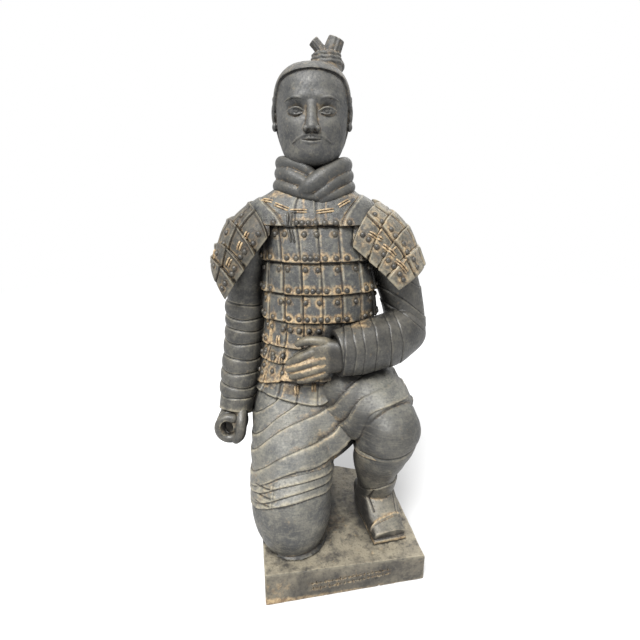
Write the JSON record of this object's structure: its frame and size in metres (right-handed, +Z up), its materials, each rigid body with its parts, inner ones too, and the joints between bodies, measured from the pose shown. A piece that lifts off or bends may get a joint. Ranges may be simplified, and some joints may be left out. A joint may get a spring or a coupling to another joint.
{
  "type": "kneeling terracotta warrior statue",
  "caption": "Kneeling archer in armour, hollow fired grey clay, on a slab cut slanting at the back, with a loose head that plugs into the collar.",
  "frame": {"origin": "on the flat underside of the slab, half way across its width and half way along its mean length", "axes": "+Z up, -Y towards the slab's front edge, +X towards the raised knee's side of the slab"},
  "size_m": [0.3522, 0.3335, 0.8028],
  "materials": {
    "figure_clay": "grey fired clay, burnished dark on the high places, with tan earth left in the grooves",
    "head_clay": "grey fired clay, smoothed and burnished, with a thin dusty film",
    "slab_clay": "grey fired clay, matt and dusty, with tan earth along the lower edge"
  },
  "bodies": {
    "root": {"figure": "figure_clay", "head": "head_clay", "plinth": "slab_clay"}
  },
  "joints": []
}
